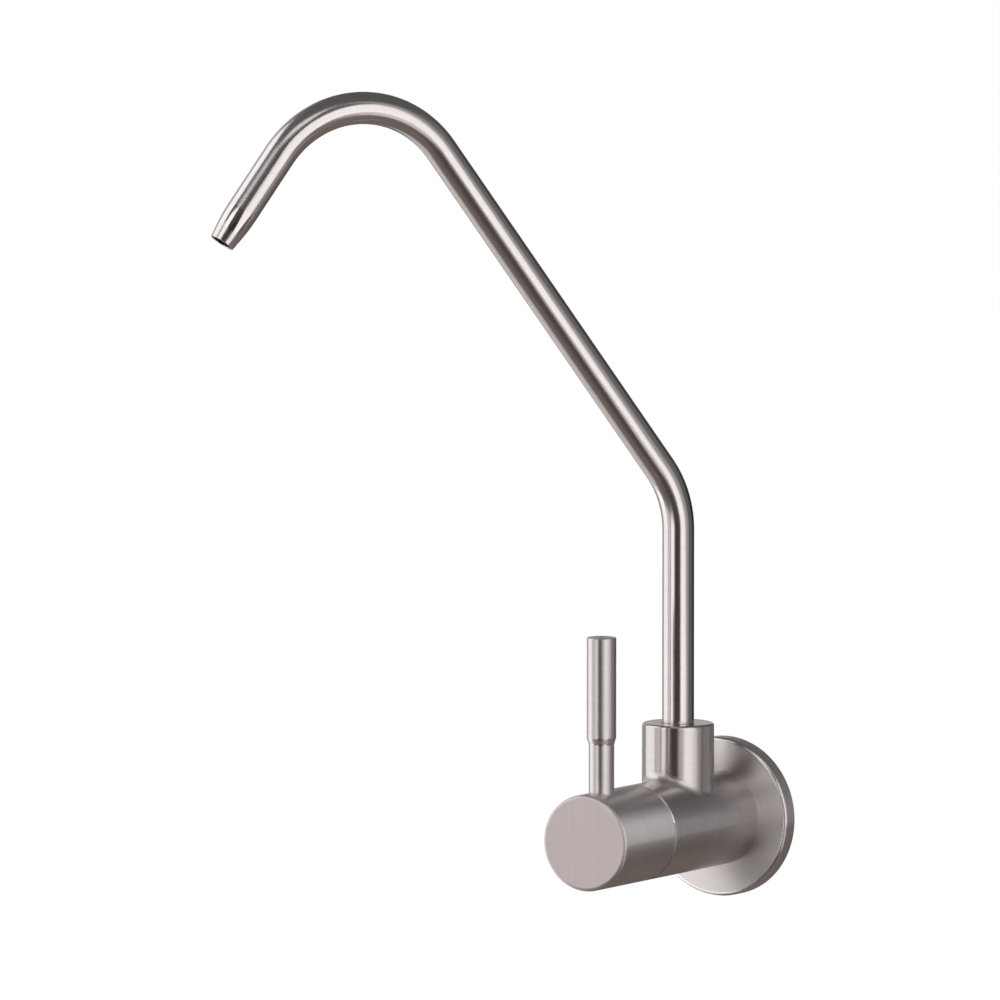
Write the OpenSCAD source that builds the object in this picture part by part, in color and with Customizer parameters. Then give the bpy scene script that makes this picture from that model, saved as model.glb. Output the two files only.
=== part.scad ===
// Wall-mounted drinking water tap with a swivelling bent spout and a quarter-turn pin lever.
// Origin: centre of the inlet thread in the wall plane. +Y points into the wall, -Y to the user, +Z is up.
// Places along the barrel are given as their distance from the wall.

/* [Wall flange] */
// Outside diameter of the flange
flange_d = 60; // [54:1:80]
// Height of the flange from the wall to the barrel
flange_h = 6.5; // [5:0.5:10]
// Thickness of the flange's shell
flange_wall = 2.6; // [1.5:0.1:3.5]
// Rounding of the flange's front edge
flange_edge_r = 1.4; // [0.4:0.1:1.6]
// Fall of the flange's face from the barrel to the edge
flange_fall = 0.2; // [0:0.1:1]

/* [Barrel] */
// Diameter of the valve body and of the handle barrel
barrel_d = 36; // [33:0.5:44]
// Length of the valve body
body_len = 59.3; // [54:0.1:80]
// Length of the handle barrel
handle_len = 35.8; // [32:0.2:50]
// Gap between the valve body and the handle barrel
joint_gap = 0.4; // [0.3:0.1:1]
// Broken edges on both sides of that gap
joint_chamfer = 0.4; // [0.2:0.1:0.8]
// Rounding round the handle barrel's front face
face_edge_r = 1.4; // [0.4:0.1:2]
// Wall of the handle barrel round its hollow
handle_wall = 3; // [2:0.25:4]

/* [Spout boss] */
// Diameter of the upright boss
boss_d = 27; // [22:0.5:30]
// Height of the boss above the barrel's axis
boss_h = 38.5; // [34:0.5:50]
// Distance of the boss's axis from the flange
boss_setback = 28.5; // [25:0.5:34]
// Rounding round the boss's top
boss_edge_r = 1; // [0.2:0.1:2]
// Chamfer at the mouth of the spout socket
mouth_chamfer = 0.5; // [0.2:0.1:1]

/* [Spout] */
// Outside diameter of the tube
tube_d = 12; // [11:0.5:14]
// Wall of the tube
tube_wall = 1; // [0.8:0.1:1.2]
// Height above the barrel's axis where the lower bend starts
riser_top = 111; // [80:1:160]
// Bend radius at the tube's centre, both bends
bend_r = 40; // [30:1:60]
// Angle of the lower bend
lower_bend_angle = 36; // [20:1:45]
// Straight run between the bends
diagonal_len = 150.5; // [80:0.5:220]
// Angle of the upper bend
upper_bend_angle = 108; // [90:1:140]
// Straight run after the upper bend
outlet_len = 29.5; // [10:0.5:60]
// Length of the swaged end
swage_len = 9.5; // [6:0.5:14]
// Outside diameter at the outlet
outlet_d = 9.5; // [8:0.25:10]
// Swing of the spout to the left of straight ahead
swing_angle = 35; // [-90:1:90]

/* [Spout seat] */
// Wall of the spigot under its deepest groove
spigot_wall = 1.1; // [0.8:0.1:1.6]
// Length of the spigot's stem inside the tube
stem_len = 10; // [6:0.5:14]
// Section of the spigot's sealing rings
spigot_ring_d = 1.5; // [1.2:0.1:1.6]
// Depth of the groove that the lock screw runs in
lock_depth = 1.6; // [1.2:0.1:2]
// Diameter of the screw that locks the spigot
lock_screw_d = 4; // [3:0.5:5]
// Width of the ledge that the spigot stands on
ledge_w = 1.5; // [1:0.1:2.5]
// Web between the water chamber and the spout socket
socket_web = 2.5; // [1.5:0.25:4]

/* [Lever] */
// Diameter of the lever's grip
lever_d = 11; // [10:0.25:14]
// Diameter of the lever's neck
neck_d = 9.5; // [8:0.25:9.75]
// Length of the neck outside the barrel
neck_len = 18; // [10:0.5:30]
// Length of the cone between neck and grip
cone_len = 2.2; // [1:0.2:4]
// Length of the grip
grip_len = 37.5; // [25:0.5:60]
// Distance of the lever's axis from the front face
lever_inset = 12.2; // [9:0.2:14]
// Broken edge round the lever's top
lever_chamfer = 0.2; // [0.2:0.1:0.8]
// Depth of the flat seat for the neck in the barrel
neck_seat = 2.5; // [1.5:0.25:4]
// Diameter of the lever's threaded tail
tail_d = 6; // [5:0.5:7]
// Length of the threaded tail
tail_len = 7.5; // [5:0.5:8]

/* [Inlet] */
// Outside diameter of the inlet thread, G1/2
inlet_d = 20.955; // [20:0.005:22]
// Length of the thread that stands out of the wall plane
inlet_len = 16; // [12:0.5:30]
// Bore of the shank
inlet_bore = 12; // [8:0.5:12]
// Diameter of the waist between the two threads of the shank
waist_d = 18.6; // [17:0.2:19.6]
// Width across flats of the key socket in the shank
key_af = 12.4; // [12.4:0.2:14]
// Depth of the key socket
key_depth = 9; // [6:0.5:12]
// Thickness of the washer at the shank's inner end
washer_t = 1; // [0.6:0.1:2]
// Web between the shank's washer and the valve seat
inlet_web = 5; // [3:0.5:7]

/* [Cartridge] */
// Diameter of the cartridge in its bore
cartridge_d = 18.6; // [18.2:0.1:19.6]
// Diameter of the cartridge's thread
head_thread_d = 20.955; // [20.4:0.005:21.4]
// Height of the cartridge's hexagon
hex_h = 6; // [4:0.5:8]
// Diameter of the cartridge's collar in front of the hexagon
collar_d = 15; // [13:0.5:17]
// Length of that collar
collar_len = 3.2; // [2:0.2:5]
// Diameter of the ceramic discs
disc_d = 16; // [15:0.1:16.4]
// Thickness of the fixed disc
fixed_disc_t = 3.5; // [2.5:0.1:4]
// Thickness of the moving disc
moving_disc_t = 3; // [2.4:0.1:4]
// Thickness of the seat seal
seat_seal_t = 2; // [1.5:0.1:3]
// Bore of the seat seal
seat_seal_bore = 11; // [9:0.5:12]
// Angle of each water window in the fixed disc
window_angle = 80; // [60:1:84]
// Water room round the cartridge's windows
chamber_gap = 1.7; // [1:0.1:2.2]
// Section of the cartridge's sealing ring
head_ring_d = 1.6; // [1.2:0.1:1.8]

/* [Spindle] */
// Diameter of the spindle
spindle_d = 9.9; // [9:0.1:10.4]
// Length of the square inside the handle
square_len = 12.5; // [10:0.5:16]
// Quarter turn of the valve
turn_angle = 90; // [60:1:90]
// Section of the spindle's sealing rings
spindle_ring_d = 1.4; // [1:0.1:1.6]
// Thickness of the circlip
clip_t = 1; // [0.8:0.1:1.2]
// Thickness of the glide washer
thrust_t = 1; // [0.6:0.1:1.5]
// Diameter of the grub screw in the handle
grub_d = 5; // [4:0.5:6]
// Length of the grub screw in the handle
grub_len = 8; // [6:0.5:10]

/* [Clearances] */
// Radial clearance of a running fit
run_clear = 0.05; // [0.02:0.01:0.1]
// Radial clearance of pieces that are screwed or pushed together
seat_clear = 0.03; // [0.01:0.01:0.1]
// Clearance of a sealing ring to its groove and its bore
ring_clear = 0.02; // [0.01:0.01:0.05]
// Clearance round pieces that turn past each other without guiding
free_clear = 0.3; // [0.2:0.05:0.5]
// Clearance between faces that turn on each other
face_clear = 0.08; // [0.05:0.01:0.2]

/* [Hidden] */
$fn = 96;

steel = [0.72, 0.70, 0.69];
screw_steel = [0.45, 0.45, 0.47];
brass = [0.78, 0.62, 0.32];
ceramic = [0.93, 0.92, 0.88];
rubber = [0.09, 0.09, 0.10];
nylon = [0.88, 0.88, 0.85];
cut = 1; // how far a cut runs past the face it opens
ring_room = 0.4; // width of a sealing ring's groove over its ring
end_room = 0.5; // room past the end of what is pushed into a blind hole

// Outer sizes and places along the barrel, from the wall
flange_r = flange_d / 2;
barrel_r = barrel_d / 2;
body_rear = flange_h;
body_front = body_rear + body_len;
handle_rear = body_front + joint_gap;
handle_front = handle_rear + handle_len;
boss_at = flange_h + boss_setback;
lever_at = handle_front - lever_inset;

// Cartridge, from its seat to the collar
disc_r = disc_d / 2;
spindle_r = spindle_d / 2;
cartridge_r = cartridge_d / 2;
seat_setback = 13; // seat behind the boss's axis
seat_at = boss_at - seat_setback;
fixed_at = seat_at + seat_seal_t;
moving_at = fixed_at + fixed_disc_t + face_clear;
drive_at = moving_at + moving_disc_t;
drive_post_len = 5.5;
drive_flange_t = 3;
flange_at = drive_at + drive_post_len;
thrust_at = flange_at + drive_flange_t + face_clear;
shoulder_at = thrust_at + thrust_t;
housing_at = seat_at + end_room;
head_ring_setback = 5; // ring groove in front of the shoulder inside
head_ring_at = shoulder_at + head_ring_setback;
head_groove = head_ring_d + ring_room;
head_land = 1.5; // between ring groove and thread
head_thread_at = head_ring_at + head_groove + head_land;
head_floor_r = cartridge_r - head_ring_d;
head_bore_r = cartridge_r + seat_clear;
collar_at = body_front + hex_h;
housing_bore_r = disc_r + run_clear;
chamber_r = cartridge_r + chamber_gap;
chamber_len = 13;
hex_room = 1; // between the hexagon's corners and the handle's hollow
hex_lap = 0.5; // the thread runs on into the hexagon
hollow_r = barrel_r - handle_wall;
hex_r = hollow_r - hex_room;

// Water windows in the discs and the housing
window_hub_r = 2.2;
window_rim = 1.2;
window_rim_r = disc_r - window_rim;
notch_spare_angle = 4; // the moving disc's open quarters are this much wider than the windows
notch_angle = window_angle + notch_spare_angle;
side_window = 7.6; // square windows in the housing's sides
side_window_lead = 2.5; // they start this far behind the spindle's drive
tab_w = 2.5; // tabs that keep the fixed disc from turning
tab_out = 0.7;
tab_r = disc_r + tab_out;

// Spindle
spindle_bore_r = spindle_r + run_clear;
spindle_ring_pitch = 4;
spindle_ring_setback = 12; // first ring in front of the shoulder
spindle_ring_at = [for (i = [0, 1]) shoulder_at + spindle_ring_setback + i * spindle_ring_pitch];
spindle_groove = spindle_ring_d + ring_room;
spindle_floor_r = spindle_r - spindle_ring_d;
clip_depth = 0.9;
clip_out = 1.5; // the circlip stands this far out of its groove
clip_gap_angle = 60;
clip_at = collar_at + collar_len + face_clear;
square_at = clip_at + 2 * clip_t;
square_w = (spindle_d - 2 * run_clear) / sqrt(2); // its corners pass through the spindle's bore
hub_room = 1; // from the square's start to the handle's hub
hub_at = square_at + hub_room;
spindle_end = hub_at + square_len;
tongue_w = 3;
tongue_h = 1.4;
drive_post_r = tongue_w;
stop_angle = 24; // stop rib in the housing
stop_play_angle = 1;
stop_depth = 1.7;
stop_root = 0.5; // the rib reaches this far into the housing's wall
stop_r = disc_r - stop_depth;
grub_setback = 6; // grub screw in front of the hub's start
grub_at = hub_at + grub_setback;

// Spout seat, up from the ledge in the socket
tube_r = tube_d / 2;
bore_r = tube_r - tube_wall;
outlet_r = outlet_d / 2;
socket_r = tube_r + run_clear;
passage_r = tube_r - ledge_w;
ledge_z = chamber_r + socket_web;
spigot_z = ledge_z + face_clear;
spigot_nose = 2.9; // below the first ring groove
spigot_land = 1.5; // between two grooves
spigot_groove = spigot_ring_d + ring_room;
spigot_floor_r = tube_r - spigot_ring_d;
ring_z = [for (i = [0, 1]) spigot_nose + i * (spigot_groove + spigot_land)];
lock_dog_r = 0.3 * lock_screw_d;
lock_room = 0.8; // play of the screw's dog in its groove
lock_w = 2 * lock_dog_r + lock_room;
lock_z = ring_z[1] + spigot_groove + spigot_land;
lock_mid_z = spigot_z + lock_z + lock_w / 2;
lock_floor_r = tube_r - lock_depth;
spigot_bore_r = lock_floor_r - spigot_wall;
glide_land = 0.9; // above and below the glide ring
glide_w = 1.6;
glide_t = 0.8;
glide_gap_angle = 30;
glide_z = lock_z + lock_w + glide_land;
stem_z = glide_z + glide_w + glide_land;
stem_r = bore_r - seat_clear;
tube_z = spigot_z + stem_z;
lock_neck_room = 0.4; // between the screw's full diameter and the socket
screw_sink = 0.8; // screw head below the boss's surface
lock_tip = lock_floor_r + free_clear;
lock_neck = socket_r + lock_neck_room;
lock_head = boss_d / 2 - screw_sink;
bend_lap = 0.2; // the straight runs reach this far into the bends
bend_swell = 0.02; // the tube is this much fuller in its bends

// Shank, along the barrel
thread_r = inlet_d / 2;
thread_root = 1; // the outer thread starts this far inside the flange
thread_tip = 1; // lead-in at both ends
flange_room = 0.5; // round the thread in the flange's hole
flange_hole_r = thread_r + flange_room;
shank_end = seat_at - inlet_web - washer_t;
washer_room = 0.5; // washer's bore round the shank's
washer_bore_r = inlet_bore / 2 + washer_room;

// Lever, up from the barrel's axis
lever_r = lever_d / 2;
neck_r = neck_d / 2;
tail_r = tail_d / 2;
seat_z = barrel_r - neck_seat;
tail_z = seat_z - tail_len;
cone_z = barrel_r + neck_len;
grip_z = cone_z + cone_len;
lever_top = grip_z + grip_len;

// Places a shape at a distance from the wall, its own Z along the barrel to the user
module along_barrel(at = 0) translate([0, -at, 0]) rotate([90, 0, 0]) children();

// Places a shape on the spout's axis at a height, its own X along the spout's reach
module on_spout(z = 0) translate([0, -boss_at, z]) rotate([0, 0, -90 - swing_angle]) children();

module ring(r_out, r_in, h) {
    rotate_extrude() translate([r_in, 0]) square([r_out - r_in, h]);
}

// Round sealing ring between a groove's floor and a bore
module seal_ring(floor_r, bore_r) {
    rotate_extrude() translate([(floor_r + bore_r) / 2, 0]) circle(d = bore_r - floor_r - 2 * ring_clear);
}

// Slice of a ring, its middle at an angle
module sector(r_out, r_in, middle, sweep, h) {
    rotate([0, 0, middle - sweep / 2]) rotate_extrude(angle = sweep)
        translate([r_in, 0]) square([r_out - r_in, h]);
}

// Square bar along +Z, centred on its axis
module square_bar(w, h) translate([-w / 2, -w / 2, 0]) cube([w, w, h]);

// Profile of a round bar with its front edge rounded and its rear edge broken
module bar_profile(r, len, rounding, chamfer) {
    polygon([[0, 0], [r - chamfer, 0], [r, chamfer], [r, len - rounding], [r - rounding, len - rounding],
        [r - rounding, len], [0, len]]);
    translate([r - rounding, len - rounding]) circle(rounding);
}

module wall_flange() color(steel) along_barrel() rotate_extrude() {
    edge_x = flange_r - flange_edge_r;
    edge_y = flange_h - flange_fall;
    inner_r = flange_r - flange_wall;
    difference() {
        union() {
            polygon([[flange_hole_r, 0], [flange_r, 0], [flange_r, edge_y - flange_edge_r],
                [edge_x, edge_y - flange_edge_r], [edge_x, edge_y], [barrel_r, flange_h],
                [flange_hole_r, flange_h]]);
            translate([edge_x, edge_y - flange_edge_r]) circle(flange_edge_r);
        }
        polygon([[0, -cut], [inner_r, -cut], [inner_r, edge_y - flange_wall],
            [barrel_r, flange_h - flange_wall], [0, flange_h - flange_wall]]);
    }
}

// Boss with its rounded top edge
module boss_blank() rotate_extrude() {
    boss_r = boss_d / 2;
    edge_x = boss_r - boss_edge_r;
    edge_y = boss_h - boss_edge_r;
    polygon([[0, 0], [boss_r, 0], [boss_r, edge_y], [edge_x, edge_y], [edge_x, boss_h], [0, boss_h]]);
    translate([edge_x, edge_y]) circle(boss_edge_r);
}

// Socket for the spout, with the passage from the water chamber below it and the lock screw's hole
module spout_socket() {
    cylinder(r = passage_r, h = ledge_z + cut);
    translate([0, 0, ledge_z]) cylinder(r = socket_r, h = boss_h);
    translate([0, 0, boss_h - mouth_chamfer])
        cylinder(r1 = socket_r, r2 = socket_r + mouth_chamfer + cut, h = mouth_chamfer + cut);
    translate([0, 0, lock_mid_z]) rotate([-90, 0, 0])
        cylinder(d = lock_screw_d + 2 * seat_clear, h = boss_d);
}

// Everything bored out of the valve body along its axis
module body_bores() {
    along_barrel(body_rear - cut)
        cylinder(r = thread_r + seat_clear, h = shank_end + washer_t - body_rear + cut);
    along_barrel(shank_end) cylinder(d = inlet_bore, h = seat_at - shank_end + cut);
    along_barrel(seat_at) cylinder(r = head_bore_r, h = body_len);
    along_barrel(boss_at - chamber_len / 2) cylinder(r = chamber_r, h = chamber_len);
    along_barrel(head_thread_at)
        cylinder(d = head_thread_d + 2 * seat_clear, h = body_front - head_thread_at + cut);
}

module valve_body() color(steel) difference() {
    union() {
        along_barrel(body_rear) rotate_extrude() polygon([[0, 0], [barrel_r, 0],
            [barrel_r, body_len - joint_chamfer], [barrel_r - joint_chamfer, body_len], [0, body_len]]);
        translate([0, -boss_at, 0]) boss_blank();
    }
    body_bores();
    translate([0, -boss_at, 0]) spout_socket();
}

module inlet_shank() color(steel) along_barrel(-inlet_len) difference() {
    waist_at = inlet_len + thread_root;
    socket_at = inlet_len + body_rear;
    end_at = inlet_len + shank_end;
    rotate_extrude() polygon([[0, 0], [thread_r - thread_tip, 0], [thread_r, thread_tip],
        [thread_r, waist_at], [waist_d / 2, waist_at], [waist_d / 2, socket_at], [thread_r, socket_at],
        [thread_r, end_at - thread_tip], [thread_r - thread_tip, end_at], [0, end_at]]);
    translate([0, 0, -cut]) cylinder(d = inlet_bore, h = end_at + 2 * cut);
    translate([0, 0, -cut]) cylinder(d = key_af / cos(30), h = key_depth + cut, $fn = 6);
}

module shank_washer() color(rubber) along_barrel(shank_end)
    ring(thread_r - seat_clear, washer_bore_r, washer_t);

// Turned outside of the cartridge, with its sealing groove, thread, hexagon and collar
module housing_blank() {
    groove_at = head_ring_at - housing_at;
    thread_at = head_thread_at - housing_at;
    thread_end = body_front + hex_lap - housing_at;
    end_at = collar_at + collar_len - housing_at;
    along_barrel(housing_at) rotate_extrude() polygon([[0, 0], [cartridge_r, 0], [cartridge_r, groove_at],
        [head_floor_r, groove_at], [head_floor_r, groove_at + head_groove],
        [cartridge_r, groove_at + head_groove], [cartridge_r, thread_at], [head_thread_d / 2, thread_at],
        [head_thread_d / 2, thread_end], [collar_d / 2, thread_end], [collar_d / 2, end_at], [0, end_at]]);
    along_barrel(body_front) cylinder(r = hex_r, h = hex_h, $fn = 6);
}

// Side window for the water and slot for the fixed disc's tab
module housing_slots() {
    along_barrel(drive_at - side_window_lead)
        translate([-side_window / 2, disc_r / 2, 0]) cube([side_window, disc_d, side_window]);
    along_barrel(housing_at - cut) translate([0, -tab_w / 2 - seat_clear, 0])
        cube([tab_r + seat_clear, tab_w + 2 * seat_clear, moving_at - housing_at + cut]);
}

module cartridge_housing() color(brass) {
    difference() {
        housing_blank();
        along_barrel(housing_at - cut) cylinder(r = housing_bore_r, h = shoulder_at - housing_at + cut);
        along_barrel(shoulder_at - cut)
            cylinder(r = spindle_bore_r, h = collar_at + collar_len - shoulder_at + 2 * cut);
        for (side = [0, 180]) rotate([0, side, 0]) housing_slots();
    }
    along_barrel(flange_at) sector(housing_bore_r + stop_root, stop_r, 90, stop_angle, drive_flange_t);
}

module seat_seal() color(rubber) along_barrel(seat_at) ring(disc_r, seat_seal_bore / 2, seat_seal_t);

module cartridge_o_ring() color(rubber) along_barrel(head_ring_at + head_groove / 2)
    seal_ring(head_floor_r, head_bore_r);

module fixed_disc() color(ceramic) along_barrel(fixed_at) difference() {
    union() {
        cylinder(r = disc_r, h = fixed_disc_t);
        translate([-tab_r, -tab_w / 2, 0]) cube([2 * tab_r, tab_w, fixed_disc_t]);
    }
    for (side = [0, 180]) translate([0, 0, -cut])
        sector(window_rim_r, window_hub_r, side, window_angle, fixed_disc_t + 2 * cut);
}

module moving_disc() color(ceramic) along_barrel(moving_at) difference() {
    slot_w = tongue_w + 2 * seat_clear;
    cylinder(r = disc_r - free_clear, h = moving_disc_t);
    for (side = [90, 270]) translate([0, 0, -cut])
        sector(disc_d, window_hub_r, side, notch_angle, moving_disc_t + 2 * cut);
    translate([-disc_d, -slot_w / 2, moving_disc_t - tongue_h - face_clear])
        cube([2 * disc_d, slot_w, moving_disc_t]);
}

// Round grooves for the spindle's sealing rings and its circlip
module spindle_grooves() {
    for (at = spindle_ring_at) along_barrel(at) ring(spindle_d, spindle_floor_r, spindle_groove);
    along_barrel(clip_at) ring(spindle_d, spindle_r - clip_depth, clip_t + face_clear);
}

// Tongue that drives the moving disc
module drive_tongue() intersection() {
    cylinder(r = disc_r - 2 * free_clear, h = tongue_h + cut);
    translate([-disc_d, -tongue_w / 2, 0]) cube([2 * disc_d, tongue_w, tongue_h + cut]);
}

module spindle() color(brass) difference() {
    union() {
        along_barrel(drive_at - tongue_h) drive_tongue();
        along_barrel(drive_at) cylinder(r = drive_post_r, h = drive_post_len + cut);
        along_barrel(flange_at) cylinder(r = disc_r - free_clear, h = drive_flange_t);
        along_barrel(flange_at) cylinder(r = spindle_r, h = square_at - flange_at);
        along_barrel(square_at - cut) square_bar(square_w, spindle_end - square_at + cut);
    }
    spindle_grooves();
    along_barrel(flange_at - cut) sector(disc_d, stop_r - free_clear, 90 - turn_angle / 2,
        turn_angle + stop_angle + 2 * stop_play_angle, drive_flange_t + 2 * cut);
}

module spindle_o_rings() color(rubber) for (at = spindle_ring_at)
    along_barrel(at + spindle_groove / 2) seal_ring(spindle_floor_r, spindle_bore_r);

module thrust_washer() color(nylon) along_barrel(thrust_at)
    ring(disc_r - seat_clear, spindle_bore_r, thrust_t);

module spindle_circlip() color(screw_steel) along_barrel(clip_at + face_clear / 2)
    sector(spindle_r + clip_out, spindle_r - clip_depth + seat_clear, -90, 360 - clip_gap_angle, clip_t);

module handle_barrel() color(steel) difference() {
    along_barrel(handle_rear) rotate_extrude() bar_profile(barrel_r, handle_len, face_edge_r, joint_chamfer);
    along_barrel(handle_rear - cut) cylinder(r = hollow_r, h = hub_at - handle_rear + cut);
    along_barrel(hub_at - cut) square_bar(square_w + 2 * seat_clear, square_len + end_room + cut);
    translate([0, -lever_at, seat_z]) cylinder(r = neck_r + seat_clear, h = barrel_d);
    translate([0, -lever_at, tail_z - end_room]) cylinder(r = tail_r + seat_clear, h = barrel_d);
    translate([0, -grub_at, 0]) rotate([180, 0, 0]) cylinder(d = grub_d + 2 * seat_clear, h = barrel_d);
}

module lever_pin() color(steel) translate([0, -lever_at, 0]) rotate_extrude() polygon([[0, tail_z],
    [tail_r, tail_z], [tail_r, seat_z], [neck_r, seat_z], [neck_r, cone_z], [lever_r, grip_z],
    [lever_r, lever_top - lever_chamfer], [lever_r - lever_chamfer, lever_top], [0, lever_top]]);

// Headless screw along +Z from its tip, with a key socket in its other end
module grub_screw(d, len, dog_r = 0, dog_len = 0) {
    key_r = 0.29 * d;
    difference() {
        union() {
            translate([0, 0, dog_len]) cylinder(d = d, h = len - dog_len);
            if (dog_len > 0) cylinder(r = dog_r, h = dog_len + cut);
        }
        translate([0, 0, len - d / 2]) cylinder(r = key_r, h = d, $fn = 6);
    }
}

module handle_grub_screw() color(screw_steel) translate([0, -grub_at, 0]) rotate([180, 0, 0])
    translate([0, 0, square_w / 2 + seat_clear]) grub_screw(grub_d, grub_len);

module spout_lock_screw() color(screw_steel) translate([0, -boss_at, lock_mid_z]) rotate([-90, 0, 0])
    translate([0, 0, lock_tip])
    grub_screw(lock_screw_d, lock_head - lock_tip, lock_dog_r, lock_neck - lock_tip);

// Section of the tube, a touch fuller in the bends
module tube_section(swell = 0) {
    difference() {
        circle(r = tube_r + swell);
        circle(r = bore_r - swell);
    }
}

// Straight run of tube along +Z, what follows starts at its end
module run(len, lap_in = bend_lap, lap_out = bend_lap) {
    translate([0, 0, -lap_in]) linear_extrude(len + lap_in + lap_out) tube_section();
    translate([0, 0, len]) children();
}

// Bend of the tube towards +X, what follows starts at its end
module bend(angle) {
    translate([bend_r, 0, 0]) rotate([90, 0, 180]) rotate_extrude(angle = angle)
        translate([bend_r, 0]) tube_section(bend_swell);
    translate([bend_r, 0, 0]) rotate([0, angle, 0]) translate([-bend_r, 0, 0]) children();
}

// Swaged end, drawn down to the outlet with its wall kept
module swage() {
    rotate_extrude() polygon([[bore_r, 0], [tube_r, 0], [outlet_r, swage_len],
        [outlet_r - tube_wall, swage_len]]);
}

module spout_tube() color(steel) on_spout(tube_z)
    run(riser_top - tube_z, lap_in = 0) bend(lower_bend_angle) run(diagonal_len) bend(upper_bend_angle)
    run(outlet_len, lap_out = 0) swage();

module spout_spigot() color(brass) on_spout(spigot_z) difference() {
    union() {
        cylinder(r = tube_r, h = stem_z);
        cylinder(r = stem_r, h = stem_z + stem_len);
    }
    translate([0, 0, -cut]) cylinder(r = spigot_bore_r, h = stem_z + stem_len + 2 * cut);
    for (z = ring_z) translate([0, 0, z]) ring(tube_d, spigot_floor_r, spigot_groove);
    translate([0, 0, lock_z]) ring(tube_d, lock_floor_r, lock_w);
    translate([0, 0, glide_z]) ring(tube_d, tube_r - glide_t, glide_w);
}

module spout_o_rings() color(rubber) for (z = ring_z)
    on_spout(spigot_z + z + spigot_groove / 2) seal_ring(spigot_floor_r, socket_r);

module spout_glide_ring() color(nylon) on_spout(spigot_z + glide_z + face_clear / 2)
    sector(tube_r + run_clear / 2, tube_r - glide_t + seat_clear, 180, 360 - glide_gap_angle,
        glide_w - face_clear);

wall_flange();
valve_body();
inlet_shank();
shank_washer();
cartridge_housing();
seat_seal();
cartridge_o_ring();
fixed_disc();
moving_disc();
spindle();
spindle_o_rings();
thrust_washer();
spindle_circlip();
handle_barrel();
lever_pin();
handle_grub_screw();
spout_tube();
spout_spigot();
spout_o_rings();
spout_glide_ring();
spout_lock_screw();
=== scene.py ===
# Looks of a wall-mounted drinking water tap in brushed steel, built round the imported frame.
# Camera, lamps and room are in metres, the sizes of pieces and brush lines in millimetres.
# The wall is the plane y = 0, and the user is at -y.
import math

import bmesh
import bpy
import numpy as np
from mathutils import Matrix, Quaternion, Vector


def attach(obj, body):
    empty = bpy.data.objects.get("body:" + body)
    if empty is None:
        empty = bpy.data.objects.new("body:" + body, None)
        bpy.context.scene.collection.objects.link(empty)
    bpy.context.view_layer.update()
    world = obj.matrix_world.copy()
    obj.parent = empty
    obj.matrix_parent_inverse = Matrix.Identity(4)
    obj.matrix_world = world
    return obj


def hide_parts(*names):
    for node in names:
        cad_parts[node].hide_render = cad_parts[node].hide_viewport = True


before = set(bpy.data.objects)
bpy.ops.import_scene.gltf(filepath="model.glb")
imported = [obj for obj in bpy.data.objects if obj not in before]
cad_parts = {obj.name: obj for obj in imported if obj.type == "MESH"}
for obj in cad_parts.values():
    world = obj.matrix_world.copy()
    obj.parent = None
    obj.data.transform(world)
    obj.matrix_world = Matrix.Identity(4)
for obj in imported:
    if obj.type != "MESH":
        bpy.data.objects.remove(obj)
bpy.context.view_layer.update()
scene = bpy.context.scene
mm = 0.001

# Camera at the photo's angle, far off with a long lens
camera = {
    "azimuth": 31.0,
    "elevation": 7.07,
    "away": 6.0,
    "lens": 574.6,
    "clip": (0.1, 100),
    "aimRight": -0.0852,  # picture's middle, from the inlet's centre
    "aimUp": 0.1182,
}


def viewAxes(azimuth, elevation):
    a, e = math.radians(azimuth), math.radians(elevation)
    back = Vector((math.sin(a) * math.cos(e), -math.cos(a) * math.cos(e), math.sin(e)))
    right = Vector((math.cos(a), math.sin(a), 0))
    return back, right, back.cross(right)


def setCamera(look):
    back, right, up = viewAxes(look["azimuth"], look["elevation"])
    data = bpy.data.cameras.new("camera")
    data.lens = look["lens"]
    data.clip_start, data.clip_end = look["clip"]
    obj = bpy.data.objects.new("camera", data)
    obj.location = back * look["away"]
    aim = right * look["aimRight"] + up * look["aimUp"]
    obj.rotation_euler = (obj.location - aim).to_track_quat("Z", "Y").to_euler()
    scene.collection.objects.link(obj)
    scene.camera = obj


setCamera(camera)
scene.view_settings.view_transform = "Standard"
print("camera set")

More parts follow.
